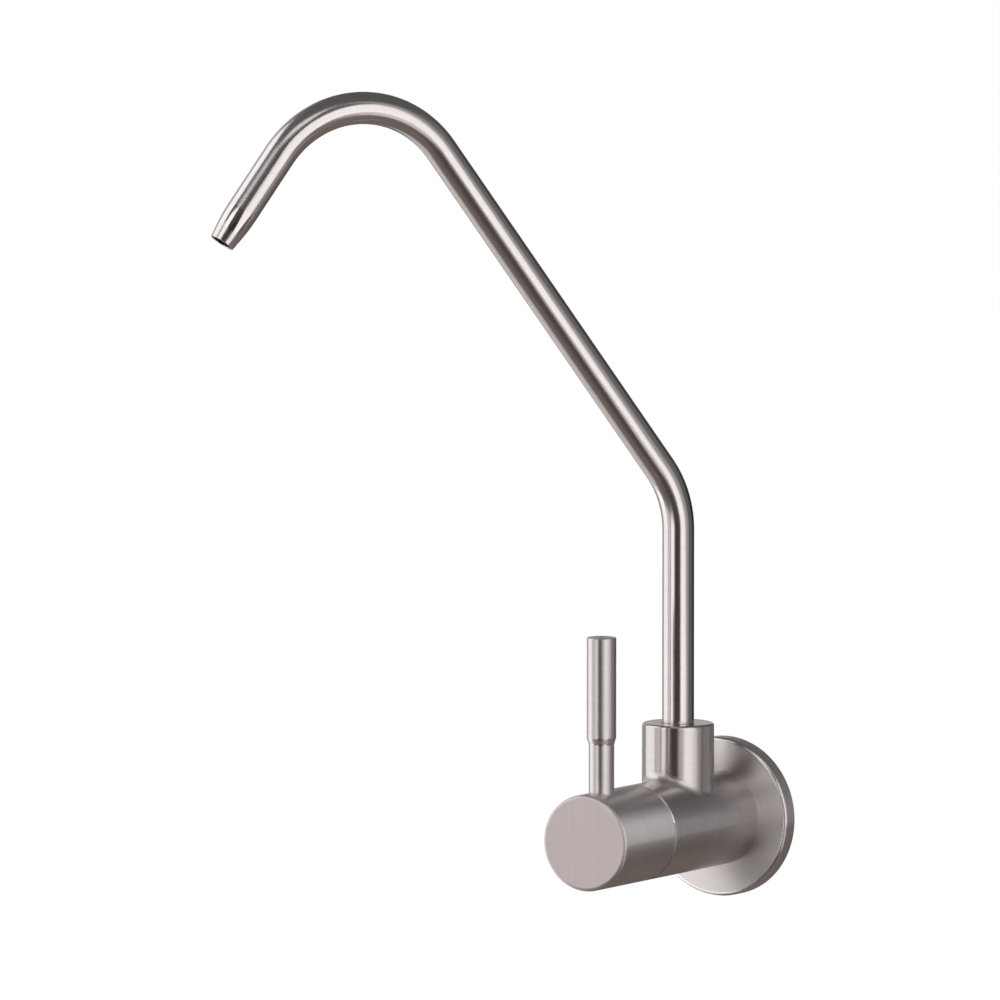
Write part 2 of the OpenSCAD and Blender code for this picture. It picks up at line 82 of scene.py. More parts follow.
# Studio: large softboxes round the tap, with the dark room left open behind the camera.
# A lamp with a list of its own lights only the pieces in it
softboxes = {
    "rightBox": {"azimuth": 79, "elevation": 9, "away": 1.1, "width": 1.25, "height": 1.0, "glow": 1.25,
                 "roll": 8},
    "rightLow": {"azimuth": 66, "elevation": -28, "away": 1.3, "width": 0.75, "height": 0.64, "glow": 0.75},
    "leftBox": {"azimuth": -72, "elevation": 8, "away": 2.2, "width": 2.0, "height": 4.4, "glow": 1.25},
    "leftRear": {"azimuth": -115, "elevation": 2, "away": 2.2, "width": 1.4, "height": 3.0, "glow": 0.35},
    "leftLow": {"azimuth": -97, "elevation": -45, "away": 1.6, "width": 1.4, "height": 1.0, "glow": 0.45},
    "leftWing": {"azimuth": -36, "elevation": 4, "away": 2.3, "width": 0.75, "height": 2.8, "glow": 0.75,
                 "lights": ["lever_grip", "spout_bent_tube", "boss_fillet", "valve_body", "handle_barrel"]},
    "flangeWing": {"azimuth": -34, "elevation": 24, "away": 2.3, "width": 0.75, "height": 1.5, "glow": 1.2,
                   "lights": ["flange_cover"]},
    "flangeLow": {"azimuth": -42, "elevation": -30, "away": 1.6, "width": 0.7, "height": 0.9, "glow": 1.5,
                  "lights": ["flange_cover"]},
    "topFront": {"azimuth": 30, "elevation": 50, "away": 2.2, "width": 1.18, "height": 0.7, "glow": 0.9},
    "tallStrip": {"azimuth": -9.2, "elevation": 11, "away": 2.4, "width": 1.2, "height": 2.7, "glow": 1.35},
    "rightRear": {"azimuth": 128, "elevation": 5, "away": 2.0, "width": 1.6, "height": 2.5, "glow": 0.1},
    "rightFill": {"azimuth": 135, "elevation": -2, "away": 2.0, "width": 1.2, "height": 0.8, "glow": 0.16,
                  "lights": ["lever_grip", "flange_cover", "valve_body"]},
    "rearGlow": {"azimuth": 155, "elevation": 6, "away": 2.2, "width": 1.43, "height": 1.3, "glow": 0.7,
                 "lights": ["handle_barrel"]},
    "rearLow": {"azimuth": 165, "elevation": 0, "away": 2.2, "width": 1.43, "height": 0.95, "glow": 0.17,
                "lights": ["valve_body"]},
    "frontFill": {"azimuth": 42, "elevation": 2, "away": 2.0, "width": 0.55, "height": 1.0, "glow": 0.8,
                  "lights": ["lever_grip", "valve_body"]},
    "backWall": {"azimuth": 214, "elevation": 5, "away": 2.4, "width": 2.0, "height": 1.2, "glow": 0.45},
}
# Grey card right of the tap, seen only in the steel's reflections: lit by no lamp, it glows, a painted glow
# strongest at its near edge, which leans to the front
greyCard = {
    "near": [(0.174, -0.009, -0.03), (0.174, -0.23, 0.6)],
    "far": [(0.78, 0.3, 0.6), (0.78, 0.3, -0.03)],
    "paper": (0.02, 0.02, 0.02),
    "rough": 0.9,
    "tone": (1, 0.97, 0.95),
    "glowNear": 0.5,
    "glowFar": 0.25,
    "fade": 3,
}
# Room that the steel mirrors: its light from below, at eye level and from above
room = {
    "middle": (-0.04, -0.087, 0.124),
    "below": (0.20, 0.172, 0.158),
    "level": (0.014, 0.0135, 0.0135),
    "above": (0.12, 0.118, 0.12),
    "blend": (0.2, 0.5, 0.8),  # where these three stand, from straight down to straight up
    "belowFront": (0.08, 0.069, 0.064),  # darker below in front of the tap
    "frontAzimuth": 28,
    "frontEdge": (0.45, 0.75),
    "frontDrop": -0.3,
    "backdrop": (1.0, 1.0, 1.0),
    "floorZ": -0.0306,
    "floorSize": 16.0,
    "floorColour": (1.0, 1.0, 1.0),
    "floorGlow": 0.995,
    "floorWhite": 0.03,
    "floorRough": 0.9,
    "floorShine": 0.1,
}
mixSockets = {"RGBA": (6, 7, 2), "VECTOR": (4, 5, 1)}  # first and second input and output of a Mix node


def addNode(tree, kind, **values):
    made = tree.nodes.new(kind)
    for key, value in values.items():
        setattr(made, key, value)
    return made


# A socket is linked to another node's output, or set to a value
def feed(tree, socket, value):
    if isinstance(value, bpy.types.NodeSocket):
        tree.links.new(value, socket)
    else:
        socket.default_value = value


def feedAll(tree, node, values):
    for key, value in values.items():
        feed(tree, node.inputs[key], value)


def feedRow(tree, node, parts):
    for socket, part in zip(node.inputs, parts):
        feed(tree, socket, part)
    return node.outputs


def sumUp(tree, operation, *parts):
    return feedRow(tree, addNode(tree, "ShaderNodeMath", operation=operation), parts)[0]


def sumVectors(tree, operation, *parts):
    return feedRow(tree, addNode(tree, "ShaderNodeVectorMath", operation=operation), parts)


def mapRange(tree, value, low, high):
    made = addNode(tree, "ShaderNodeMapRange")
    feedAll(tree, made, {"Value": value, "From Min": low, "From Max": high})
    return made.outputs["Result"]


def mixUp(tree, kind, share, first, second, blend="MIX"):
    made = addNode(tree, "ShaderNodeMix", data_type=kind, blend_type=blend)
    one, two, out = mixSockets[kind]
    feedAll(tree, made, {"Factor": share, one: first, two: second})
    return made.outputs[out]


def partOf(tree, vector):
    return tuple(feedRow(tree, addNode(tree, "ShaderNodeSeparateXYZ"), [vector]))


def vectorOf(tree, *parts):
    return feedRow(tree, addNode(tree, "ShaderNodeCombineXYZ"), parts)[0]


def fromMesh(tree, name, output):
    return addNode(tree, "ShaderNodeAttribute", attribute_name=name).outputs[output]


def onObject(tree):
    return addNode(tree, "ShaderNodeTexCoord").outputs["Object"]


def opaque(colour):
    return (*colour, 1)


def newPaint(name):
    paint = bpy.data.materials.new(name)
    paint.use_nodes = True
    return paint, paint.node_tree, paint.node_tree.nodes["Principled BSDF"]


def hangSoftbox(name, box):
    back = viewAxes(box["azimuth"], box["elevation"])[0]
    data = bpy.data.lights.new(name, "AREA")
    data.shape = "RECTANGLE"
    data.size, data.size_y = box["width"], box["height"]
    data.energy = box["glow"] * math.pi * box["width"] * box["height"]
    obj = bpy.data.objects.new(name, data)
    obj.location = Vector(room["middle"]) + back * box["away"]
    roll = Quaternion((0, 0, 1), math.radians(box.get("roll", 0)))
    obj.rotation_euler = (back.to_track_quat("Z", "Y") @ roll).to_euler()
    obj.visible_camera = False
    scene.collection.objects.link(obj)


def shieldLamp(name, pieces):
    lit = bpy.data.collections.new(name + "Lit")
    for piece in pieces:
        lit.objects.link(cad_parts.get(piece) or bpy.data.objects[piece])
    bpy.data.objects[name].light_linking.receiver_collection = lit


def paintRoom():
    world = bpy.data.worlds.new("studio")
    scene.world = world
    world.use_nodes = True
    tree = world.node_tree
    tree.nodes.clear()
    way = addNode(tree, "ShaderNodeTexCoord").outputs["Generated"]
    height = partOf(tree, way)[2]
    ramp = addNode(tree, "ShaderNodeValToRGB")
    low, level, high = room["blend"]
    stops = ramp.color_ramp.elements
    stops[0].position, stops[0].color = low, opaque(room["below"])
    stops[1].position, stops[1].color = high, opaque(room["above"])
    stops.new(level).color = opaque(room["level"])
    feed(tree, ramp.inputs["Fac"], mapRange(tree, height, -1, 1))
    ahead = sumVectors(tree, "DOT_PRODUCT", way, viewAxes(room["frontAzimuth"], 0)[0])["Value"]
    inFront = mapRange(tree, ahead, *room["frontEdge"])
    under = mapRange(tree, height, 0, room["frontDrop"])
    share = sumUp(tree, "MULTIPLY", inFront, under)
    colour = mixUp(tree, "RGBA", share, ramp.outputs["Color"], opaque(room["belowFront"]))
    glow, plain = (addNode(tree, "ShaderNodeBackground") for _ in range(2))
    feed(tree, glow.inputs["Color"], colour)
    feed(tree, plain.inputs["Color"], opaque(room["backdrop"]))
    seen = addNode(tree, "ShaderNodeLightPath").outputs["Is Camera Ray"]
    mix = addNode(tree, "ShaderNodeMixShader")
    out = addNode(tree, "ShaderNodeOutputWorld")
    feed(tree, out.inputs["Surface"], feedRow(tree, mix, (seen, glow.outputs[0], plain.outputs[0]))[0])


def layFloor():
    half = room["floorSize"] / 2
    corners = [(-half, -half, 0), (half, -half, 0), (half, half, 0), (-half, half, 0)]
    mesh = bpy.data.meshes.new("floor")
    mesh.from_pydata(corners, [], [(0, 1, 2, 3)])
    obj = bpy.data.objects.new("floor", mesh)
    obj.location.z = room["floorZ"]
    obj.visible_glossy = False  # the steel mirrors the room, not the floor
    scene.collection.objects.link(obj)
    paint, tree, shader = newPaint("paleFloor")
    feedAll(tree, shader, {
        "Base Color": opaque([c * room["floorWhite"] for c in room["floorColour"]]),
        "Roughness": room["floorRough"],
        "Specular IOR Level": room["floorShine"],
        "Emission Color": opaque(room["floorColour"]),
        "Emission Strength": room["floorGlow"],
    })
    mesh.materials.append(paint)


def standCard(card):
    mesh = bpy.data.meshes.new("greyCard")
    mesh.from_pydata(card["near"] + card["far"], [], [(0, 1, 2, 3)])
    near = mesh.attributes.new("near", "FLOAT", "POINT")
    near.data.foreach_set("value", [1.0] * len(card["near"]) + [0.0] * len(card["far"]))
    obj = bpy.data.objects.new("greyCard", mesh)
    obj.visible_camera = obj.visible_diffuse = False
    scene.collection.objects.link(obj)
    paint, tree, shader = newPaint("greyCard")
    share = sumUp(tree, "POWER", fromMesh(tree, "near", "Fac"), card["fade"])
    feedAll(tree, shader, {
        "Base Color": opaque(card["paper"]),
        "Roughness": card["rough"],
        "Emission Color": opaque(card["tone"]),
        "Emission Strength": sumUp(tree, "MULTIPLY_ADD", share, card["glowNear"] - card["glowFar"],
                                   card["glowFar"]),
    })
    mesh.materials.append(paint)


for name, box in softboxes.items():
    hangSoftbox(name, box)
paintRoom()
layFloor()
standCard(greyCard)
print("studio lit:", ", ".join(softboxes))

# Steel finishes. "grain" is the width of a brush line, "reach" how far it runs, both in mm
satin = {
    "name": "satinSteel",
    "light": (0.77, 0.727, 0.722),
    "dark": (0.63, 0.585, 0.578),
    "roughness": 0.38,
    "anisotropic": 0.72,
    "grain": 0.45,
    "reach": 26,
    "grainDepth": 0.10,
    "fineDetail": 3,
    "broadGrain": 6,  # broad streaks, so many times as wide and as long
    "broadReach": 2.5,
    "broadDetail": 2,
    "broadShare": 0.6,
    "clouds": 45,  # soft patches per metre
    "cloudDetail": 3,
    "cloudDepth": 0.05,
    "contrast": 0.8,
    "polish": 0.10,  # edges worn smoother
    "bump": 0.08,
    "bumpHeight": 0.02,
    "zoneRough": 0.0,  # change of roughness and grain on a second zone: boss or front face
    "zoneGrain": 1.0,
    "zoneColour": (1.0, 1.0, 1.0),
    "seamRough": 0.2,  # broken edges at the joint of the two barrels
    # the joint is darkened below the seam's shade top: a dark joint line, with its lower part painted shade
    "seamShadeColour": (0.65, 0.64, 0.64),
}
tubeSatin = dict(satin, name="satinTube", roughness=0.22, anisotropic=0.5, grain=0.4, grainDepth=0.05,
                 contrast=0.45, bump=0.03)
barrelSatin = dict(satin, name="satinBarrel", roughness=0.31, anisotropic=0.52, contrast=1.3, polish=0.05,
                   zoneRough=-0.09, zoneGrain=0.3, zoneColour=(0.87, 0.86, 0.86))
handleSatin = dict(satin, name="satinHandle", roughness=0.41, anisotropic=0.5, contrast=1.2, polish=-0.08,
                   zoneRough=-0.04, zoneGrain=0.55, zoneColour=(0.89, 0.84, 0.83))
flangeSatin = dict(satin, name="satinFlange", light=(0.86, 0.815, 0.81), dark=(0.71, 0.665, 0.66),
                   roughness=0.36, anisotropic=0.85, contrast=0.9, bump=0.04)
plainTurned = dict(satin, name="turnedSteel", roughness=0.33, anisotropic=0.6, grain=0.3, bump=0.12)

# Barrel with the boss, and the handle's barrel in front of it
bodySkin = {
    "barrelR": 18,
    "bossAt": 35,
    "bossR": 13.5,
    "bossTop": 38.5,
    "bossEdge": 1,
    "flush": 0.05,  # nearer to the top than this is the top face
    "clear": 0.02,  # further out than the barrel by this much, a point is on the boss
}
handleSkin = {
    "faceAt": 102,
    "edge": 1.4,
    "flush": 0.05,  # nearer to the front than this is the front face
    "shadedSeamAt": 66,
    "seamHalf": 0.62,
    # the seam's colour is painted dark only below this height: painted shade on the joint's lower side
    "seamShadeTop": 5,  # the seam shows dark up to here
}


def inRoom(tree, vector):
    turn = addNode(tree, "ShaderNodeVectorTransform", vector_type="VECTOR")
    turn.convert_from, turn.convert_to = "OBJECT", "WORLD"
    return feedRow(tree, turn, [vector])[0]


def within(tree, value, low, high):
    above = sumUp(tree, "GREATER_THAN", value, low)
    return sumUp(tree, "MULTIPLY", above, sumUp(tree, "LESS_THAN", value, high))


# mask of the joint between the barrels below the shade top; the darker colour there is painted shade over a
# dark joint
def shadedSeamAt(tree, y, z):
    middle, half = -handleSkin["shadedSeamAt"] * mm, handleSkin["seamHalf"] * mm
    low = sumUp(tree, "LESS_THAN", z, handleSkin["seamShadeTop"] * mm)
    return sumUp(tree, "MULTIPLY", within(tree, y, middle - half, middle + half), low)


# Brush lines as (across the lines, along them, along them), the direction that a highlight is drawn out in,
# and masks of the second zone, of the worn edges and of the seam between the barrels, its lower part
# painted shade
def linesFromMesh(tree):
    lay = inRoom(tree, fromMesh(tree, "lay", "Vector"))
    return fromMesh(tree, "brush", "Vector"), lay, 0.0, fromMesh(tree, "edge", "Fac"), 0.0


def linesOnBody(tree):
    x, y, z = partOf(tree, onObject(tree))
    away = sumVectors(tree, "LENGTH", vectorOf(tree, x, 0.0, z))["Value"]
    onBoss = sumUp(tree, "GREATER_THAN", away, (bodySkin["barrelR"] + bodySkin["clear"]) * mm)
    fromBoss = sumUp(tree, "ADD", y, bodySkin["bossAt"] * mm)
    lines = mixUp(tree, "VECTOR", onBoss, vectorOf(tree, y, x, z), vectorOf(tree, z, x, fromBoss))
    barrelLay = vectorOf(tree, x, bodySkin["barrelR"] * mm, z)
    bossLay = vectorOf(tree, x, fromBoss, bodySkin["bossR"] * mm)
    lay = inRoom(tree, mixUp(tree, "VECTOR", onBoss, barrelLay, bossLay))
    top, flush = bodySkin["bossTop"] * mm, bodySkin["flush"] * mm
    worn = within(tree, z, top - bodySkin["bossEdge"] * mm, top - flush)
    return lines, lay, onBoss, worn, shadedSeamAt(tree, y, z)


def linesOnHandle(tree):
    x, y, z = partOf(tree, onObject(tree))
    face, flush = -handleSkin["faceAt"] * mm, handleSkin["flush"] * mm
    onFace = sumUp(tree, "LESS_THAN", y, face + flush)
    lines = mixUp(tree, "VECTOR", onFace, vectorOf(tree, y, x, z), vectorOf(tree, x, z, 0.0))
    barrelLay = vectorOf(tree, x, bodySkin["barrelR"] * mm, z)
    faceLay = vectorOf(tree, 1.0, 0.0, 0.0)
    lay = inRoom(tree, mixUp(tree, "VECTOR", onFace, barrelLay, faceLay))
    worn = within(tree, y, face + flush, face + handleSkin["edge"] * mm)
    return lines, lay, onFace, worn, shadedSeamAt(tree, y, z)


def noiseAt(tree, where, scale, detail):
    made = addNode(tree, "ShaderNodeTexNoise")
    feedAll(tree, made, {"Vector": where, "Scale": scale, "Detail": detail})
    return made.outputs["Fac"]


def noiseAlong(tree, lines, grain, reach, detail):
    scale = (1 / (grain * mm), 1 / (reach * mm), 1 / (reach * mm))
    return noiseAt(tree, sumVectors(tree, "MULTIPLY", lines, scale)["Vector"], 1, detail)


def tintWhere(tree, mask, colour, tint):
    if isinstance(mask, float):
        return colour
    return mixUp(tree, "RGBA", mask, colour, opaque(tint), "MULTIPLY")


def addBump(tree, relief, strength, height):
    made = addNode(tree, "ShaderNodeBump")
    feedAll(tree, made, {"Strength": strength, "Distance": height * mm, "Height": relief})
    return made.outputs[0]


def steelFinish(look, brushLines):
    paint, tree, shader = newPaint(look["name"])
    lines, lay, zone, worn, seam = brushLines(tree)
    fine = noiseAlong(tree, lines, look["grain"], look["reach"], look["fineDetail"])
    broadGrain, broadReach = look["grain"] * look["broadGrain"], look["reach"] * look["broadReach"]
    broad = noiseAlong(tree, lines, broadGrain, broadReach, look["broadDetail"])
    cloud = noiseAt(tree, onObject(tree), look["clouds"], look["cloudDetail"])
    strength = sumUp(tree, "MULTIPLY_ADD", zone, look["zoneGrain"] - 1, 1.0)
    streak, swell = (
        sumUp(tree, "MULTIPLY", sumUp(tree, "SUBTRACT", noise, 0.5), strength) for noise in (fine, broad)
    )
    rough = look["roughness"] - look["cloudDepth"] / 2
    changes = [(streak, "grainDepth", 1), (cloud, "cloudDepth", 1), (zone, "zoneRough", 1),
               (worn, "polish", -1), (seam, "seamRough", 1)]
    for mask, key, sign in changes:
        rough = sumUp(tree, "MULTIPLY_ADD", mask, sign * look[key], rough)
    share = sumUp(tree, "MULTIPLY_ADD", streak, look["contrast"], 0.5)
    share = sumUp(tree, "MULTIPLY_ADD", swell, look["contrast"] * look["broadShare"], share)
    colour = mixUp(tree, "RGBA", share, opaque(look["dark"]), opaque(look["light"]))
    colour = tintWhere(tree, zone, colour, look["zoneColour"])
    # painted shade: the joint's lower part darkened, on top of a dark joint line
    colour = tintWhere(tree, seam, colour, look["seamShadeColour"])
    feedAll(tree, shader, {
        "Metallic": 1,
        "Anisotropic": look["anisotropic"],
        "Base Color": colour,
        "Roughness": rough,
        "Normal": addBump(tree, fine, look["bump"], look["bumpHeight"]),
        "Tangent": lay,
    })
    return paint


# Hidden and small pieces: sealing rubber, brass, ceramic, nylon and dark screw steel
innerLooks = {
    "turnedBrass": {"light": (0.80, 0.60, 0.27), "dark": (0.66, 0.47, 0.19),
                    "metal": 1, "rough": 0.34, "spots": 900},
    "firedCeramic": {"light": (0.86, 0.84, 0.79), "dark": (0.80, 0.775, 0.72),
                     "metal": 0, "rough": 0.22, "spots": 420},
    "mouldedNylon": {"light": (0.80, 0.80, 0.76), "dark": (0.73, 0.72, 0.68),
                     "metal": 0, "rough": 0.48, "spots": 300},
    "sealRubber": {"light": (0.030, 0.030, 0.032), "dark": (0.016, 0.016, 0.018),
                   "metal": 0, "rough": 0.62, "spots": 700},
    "darkScrew": {"light": (0.30, 0.295, 0.30), "dark": (0.19, 0.185, 0.19),
                  "metal": 1, "rough": 0.40, "spots": 1200},
}
innerGrain = {"detail": 4, "roughSpread": 0.16, "bump": 0.12, "bumpHeight": 0.03}


def innerFinish(name, look):
    paint, tree, shader = newPaint(name)
    grain = noiseAt(tree, onObject(tree), look["spots"], innerGrain["detail"])
    spread = innerGrain["roughSpread"]
    feedAll(tree, shader, {
        "Metallic": look["metal"],
        "Base Color": mixUp(tree, "RGBA", grain, opaque(look["dark"]), opaque(look["light"])),
        "Roughness": sumUp(tree, "MULTIPLY_ADD", grain, spread, look["rough"] - spread / 2),
        "Normal": addBump(tree, grain, innerGrain["bump"], innerGrain["bumpHeight"]),
    })
    return paint


# Mesh skins are made of patches: grids of points with their own shading, brush lines and worn edges
meshing = {
    "weld": 0.0005,
    "cornerSteps": 6,
    "leastRun": 1e-6,  # shorter ones are left out
}


def newSkin():
    return {"points": [], "quads": [], "shade": [], "brush": [], "lay": [], "edge": [], "count": 0}


def addPatch(skin, points, shade, brush, lay, edge):
    rows, cols = points.shape[:2]
    index = np.arange(rows * cols).reshape(rows, cols)
    quads = np.stack([index[:-1, :-1], index[:-1, 1:], index[1:, 1:], index[1:, :-1]], -1).reshape(-1, 4)
    flat = points.reshape(-1, 3)
    corner = flat[quads]
    facing = np.cross(corner[:, 2] - corner[:, 0], corner[:, 3] - corner[:, 1])
    if (facing * shade.reshape(-1, 3)[quads].sum(1)).sum() < 0:
        quads = quads[:, ::-1]
    skin["points"].append(flat)
    skin["quads"].append(quads + skin["count"])
    for key, values in (("shade", shade), ("brush", brush), ("lay", lay)):
        skin[key].append(np.broadcast_to(values, points.shape).reshape(-1, 3))
    skin["edge"].append(np.broadcast_to(edge, (rows, cols)).reshape(-1))
    skin["count"] += rows * cols


def makePiece(name, skin, paint, body, nodes):
    mesh = bpy.data.meshes.new(name)
    points = np.concatenate(skin["points"])
    mesh.from_pydata(points.tolist(), [], np.concatenate(skin["quads"]).tolist())
    corners = np.zeros(len(mesh.loops), np.int32)
    mesh.loops.foreach_get("vertex_index", corners)
    for key in ("shade", "brush", "lay"):
        values = mesh.attributes.new(key, "FLOAT_VECTOR", "CORNER")
        values.data.foreach_set("vector", np.concatenate(skin[key])[corners].astype(np.float32).ravel())
    values = mesh.attributes.new("edge", "FLOAT", "CORNER")
    values.data.foreach_set("value", np.concatenate(skin["edge"])[corners].astype(np.float32))
    welded = bmesh.new()
    welded.from_mesh(mesh)
    bmesh.ops.remove_doubles(welded, verts=welded.verts, dist=meshing["weld"] * mm)
    for face in welded.faces:
        face.smooth = True
    welded.to_mesh(mesh)
    welded.free()
    shade = np.zeros(len(mesh.loops) * 3, np.float32)
    mesh.attributes["shade"].data.foreach_get("vector", shade)
    mesh.attributes.remove(mesh.attributes["shade"])
    mesh.normals_split_custom_set(shade.reshape(-1, 3).tolist())
    mesh.materials.append(paint)
    obj = bpy.data.objects.new(name, mesh)
    scene.collection.objects.link(obj)
    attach(obj, body)
    if nodes:
        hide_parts(*nodes)
    print("made", name, len(mesh.polygons), "faces")


# Outline of a turned piece, its material to the left, as runs of (r, h, outward r, outward h), each with
# 1 for a rounded corner or 0 for a straight. The third value of a spot is its rounding
def roundedRuns(outline, closed):
    spots = [np.array(spot[:2], float) for spot in outline]
    count = len(spots)
    starts, ends, arcs = list(spots), list(spots), [None] * count
    for i, spot in enumerate(outline):
        rounding = spot[2] if len(spot) > 2 else 0
        if not rounding or (not closed and i in (0, count - 1)):
            continue
        before = spots[i] - spots[i - 1]
        after = spots[(i + 1) % count] - spots[i]
        before, after = before / np.linalg.norm(before), after / np.linalg.norm(after)
        turn = math.atan2(before[0] * after[1] - before[1] * after[0], before @ after)
        back = rounding * math.tan(abs(turn) / 2)
        starts[i], ends[i] = spots[i] - before * back, spots[i] + after * back
        side = math.copysign(1, turn)
        centre = starts[i] + side * rounding * np.array([-before[1], before[0]])
        arc = []
        for angle in np.linspace(0, turn, meshing["cornerSteps"] + 1):
            spin = np.array([[math.cos(angle), -math.sin(angle)], [math.sin(angle), math.cos(angle)]])
            arm = spin @ (starts[i] - centre)
            out = spin @ np.array([before[1], -before[0]])
            arc.append((*(centre + arm), *out))
        arcs[i] = arc
    runs = []
    for i in range(count):
        if arcs[i]:
            runs.append((arcs[i], 1.0))
        if closed or i < count - 1:
            a, b = ends[i], starts[(i + 1) % count]
            step = b - a
            length = np.linalg.norm(step)
            if length > meshing["leastRun"]:
                out = (step[1] / length, -step[0] / length)
                runs.append(([(*a, *out), (*b, *out)], 0.0))
    return runs


# Sweeps an outline's runs round a straight axis
def addTurned(skin, runs, origin, axis, side, cols, split=None):
    axis, side = np.array(axis, float), np.array(side, float)
    other = np.cross(axis, side)
    angle = np.linspace(0, 2 * math.pi, cols + 1)
    ray = np.outer(np.cos(angle), side) + np.outer(np.sin(angle), other)
    gone = 0.0
    for run, edge in runs:
        spots = np.array(run)
        if split and len(run) == 2:
            parts = max(1, int(np.linalg.norm(spots[1, :2] - spots[0, :2]) / split))
            share = np.linspace(0, 1, parts + 1)[:, None]
            spots = spots[0] * (1 - share) + spots[1] * share
        r, h, outR, outH = spots.T
        steps = np.concatenate([[0], np.cumsum(np.hypot(np.diff(r), np.diff(h)))])
        points = np.array(origin) + h[:, None, None] * axis + r[:, None, None] * ray
        shade = outH[:, None, None] * axis + outR[:, None, None] * ray
        lay = -outR[:, None, None] * axis + outH[:, None, None] * ray
        brush = np.empty(points.shape)
        brush[..., 0] = (gone + steps)[:, None]
        brush[..., 1] = r[:, None] * np.cos(angle)
        brush[..., 2] = r[:, None] * np.sin(angle)
        gone += steps[-1]
        addPatch(skin, points * mm, shade, brush * mm, lay, edge)


# Wall flange: a turned cover with a hollow back
flangeSkin = {
    "r": 30,
    "h": 6.5,
    "fall": 0.2,  # its face is lower at the rim
    "barrelR": 18,
    "edge": 1.4,
    "hole": 10.98,
    "wall": 2.6,
    "corner": 0.4,
    "burr": 0.15,
    "cols": 160,
    "split": 4,
}


def makeFlange(size, paint):
    inner = size["r"] - size["wall"]
    back = size["h"] - size["wall"]
    rim = size["h"] - size["fall"]
    outline = [
        (size["hole"], size["h"], size["burr"]),
        (size["hole"], back, size["burr"]),
        (size["barrelR"], back, 0),
        (inner, rim - size["wall"], size["corner"]),
        (inner, 0, size["burr"]),
        (size["r"], 0, size["burr"]),
        (size["r"], rim, size["edge"]),
        (size["barrelR"], size["h"], 0),
    ]
    skin = newSkin()
    runs = roundedRuns(outline, True)
    addTurned(skin, runs, (0, 0, 0), (0, -1, 0), (0, 0, -1), size["cols"], size["split"])
    makePiece("flange_cover", skin, paint, "tap_body", ["wall_flange"])


# Lever: stepped pin on a threaded tail
leverSkin = {
    "at": 89.8,
    "tailR": 3,
    "tailZ": 8,
    "tailEdge": 0.3,
    "seatZ": 15.5,
    "seatEdge": 0.1,
    "neckR": 4.75,
    "coneZ": 36,
    "gripR": 5.5,
    "gripZ": 38.2,
    "step": 3,  # roundings at both ends of the cone
    "top": 75.7,
    "chamfer": 0.2,
    "topEdge": 0.12,
    "cols": 96,
    "split": 3,
}


def makeLever(size, paint):
    c = size["chamfer"]
    outline = [
        (0, size["tailZ"]),
        (size["tailR"], size["tailZ"], size["tailEdge"]),
        (size["tailR"], size["seatZ"], size["seatEdge"]),
        (size["neckR"], size["seatZ"], size["seatEdge"]),
        (size["neckR"], size["coneZ"], size["step"]),
        (size["gripR"], size["gripZ"], size["step"]),
        (size["gripR"], size["top"] - c, size["topEdge"]),
        (size["gripR"] - c, size["top"], size["topEdge"]),
        (0, size["top"]),
    ]
    skin = newSkin()
    runs = roundedRuns(outline, False)
    addTurned(skin, runs, (0, -size["at"], 0), (0, 0, 1), (0, 1, 0), size["cols"], size["split"])
    makePiece("lever_grip", skin, paint, "handle", ["lever_pin"])


# Spout: one tube through two bends, drawn down at its outlet
spoutSkin = {
    "at": 35,
    "startZ": 29.88,
    "riserTop": 111,
    "bendR": 40,
    "lower": 36,  # degrees of the two bends
    "diagonal": 150.5,
    "upper": 108,
    "outlet": 29.5,
    "swage": 9.5,
    "ease": 70,  # soft start of the swage
    "r": 6,
    "wall": 1,
    "endR": 4.75,
    "swing": 35,
    "startBore": 0.2,
    "startEdge": 0.3,
    "lip": 0.22,
    "cols": 72,
    "bendStep": 1.5,
    "straightStep": 12,
    "longRun": 1,  # longer runs get more rows
    "rowGap": 0.2,  # and none of these nearer to the run's ends
}


def spoutRoute(size):
    swing = math.radians(size["swing"])
    ahead = np.array([-math.sin(swing), -math.cos(swing), 0])
    up = np.array([0.0, 0.0, 1.0])
    endLeg = size["outlet"] + size["swage"]
    parts = [(size["riserTop"] - size["startZ"], 0), (0, size["lower"]), (size["diagonal"], 0),
             (0, size["upper"]), (endLeg, 0)]

    # on from a spot, straight or round a bend
    def goOn(spot, tilt, straight, turn):
        if not turn:
            return spot + straight * (up * math.cos(tilt) + ahead * math.sin(tilt)), tilt
        over = math.cos(tilt) - math.cos(tilt + turn)
        rise = math.sin(tilt + turn) - math.sin(tilt)
        return spot + size["bendR"] * (ahead * over + up * rise), tilt + turn

    spot, tilt, gone = np.array([0, -size["at"], size["startZ"]], float), 0.0, 0.0
    legs, stations = [], [0.0]
    for straight, bend in parts:
        turn = math.radians(bend)
        length = straight or size["bendR"] * turn
        rows = math.ceil(bend / size["bendStep"]) or max(2, math.ceil(length / size["straightStep"]))
        stations += [gone + length * (k + 1) / rows for k in range(rows)]
        legs.append((gone, length, spot, tilt, turn))
        spot, tilt = goOn(spot, tilt, straight, turn)
        gone += length

    def place(s):
        for start, length, base, lean, turn in legs:
            if s <= start + length + meshing["leastRun"]:
                break
        spot, lean = goOn(base, lean, s - start, turn * (s - start) / length)
        forward = up * math.cos(lean) + ahead * math.sin(lean)
        out = ahead * math.cos(lean) - up * math.sin(lean)
        return spot, forward, out

    return place, stations, gone


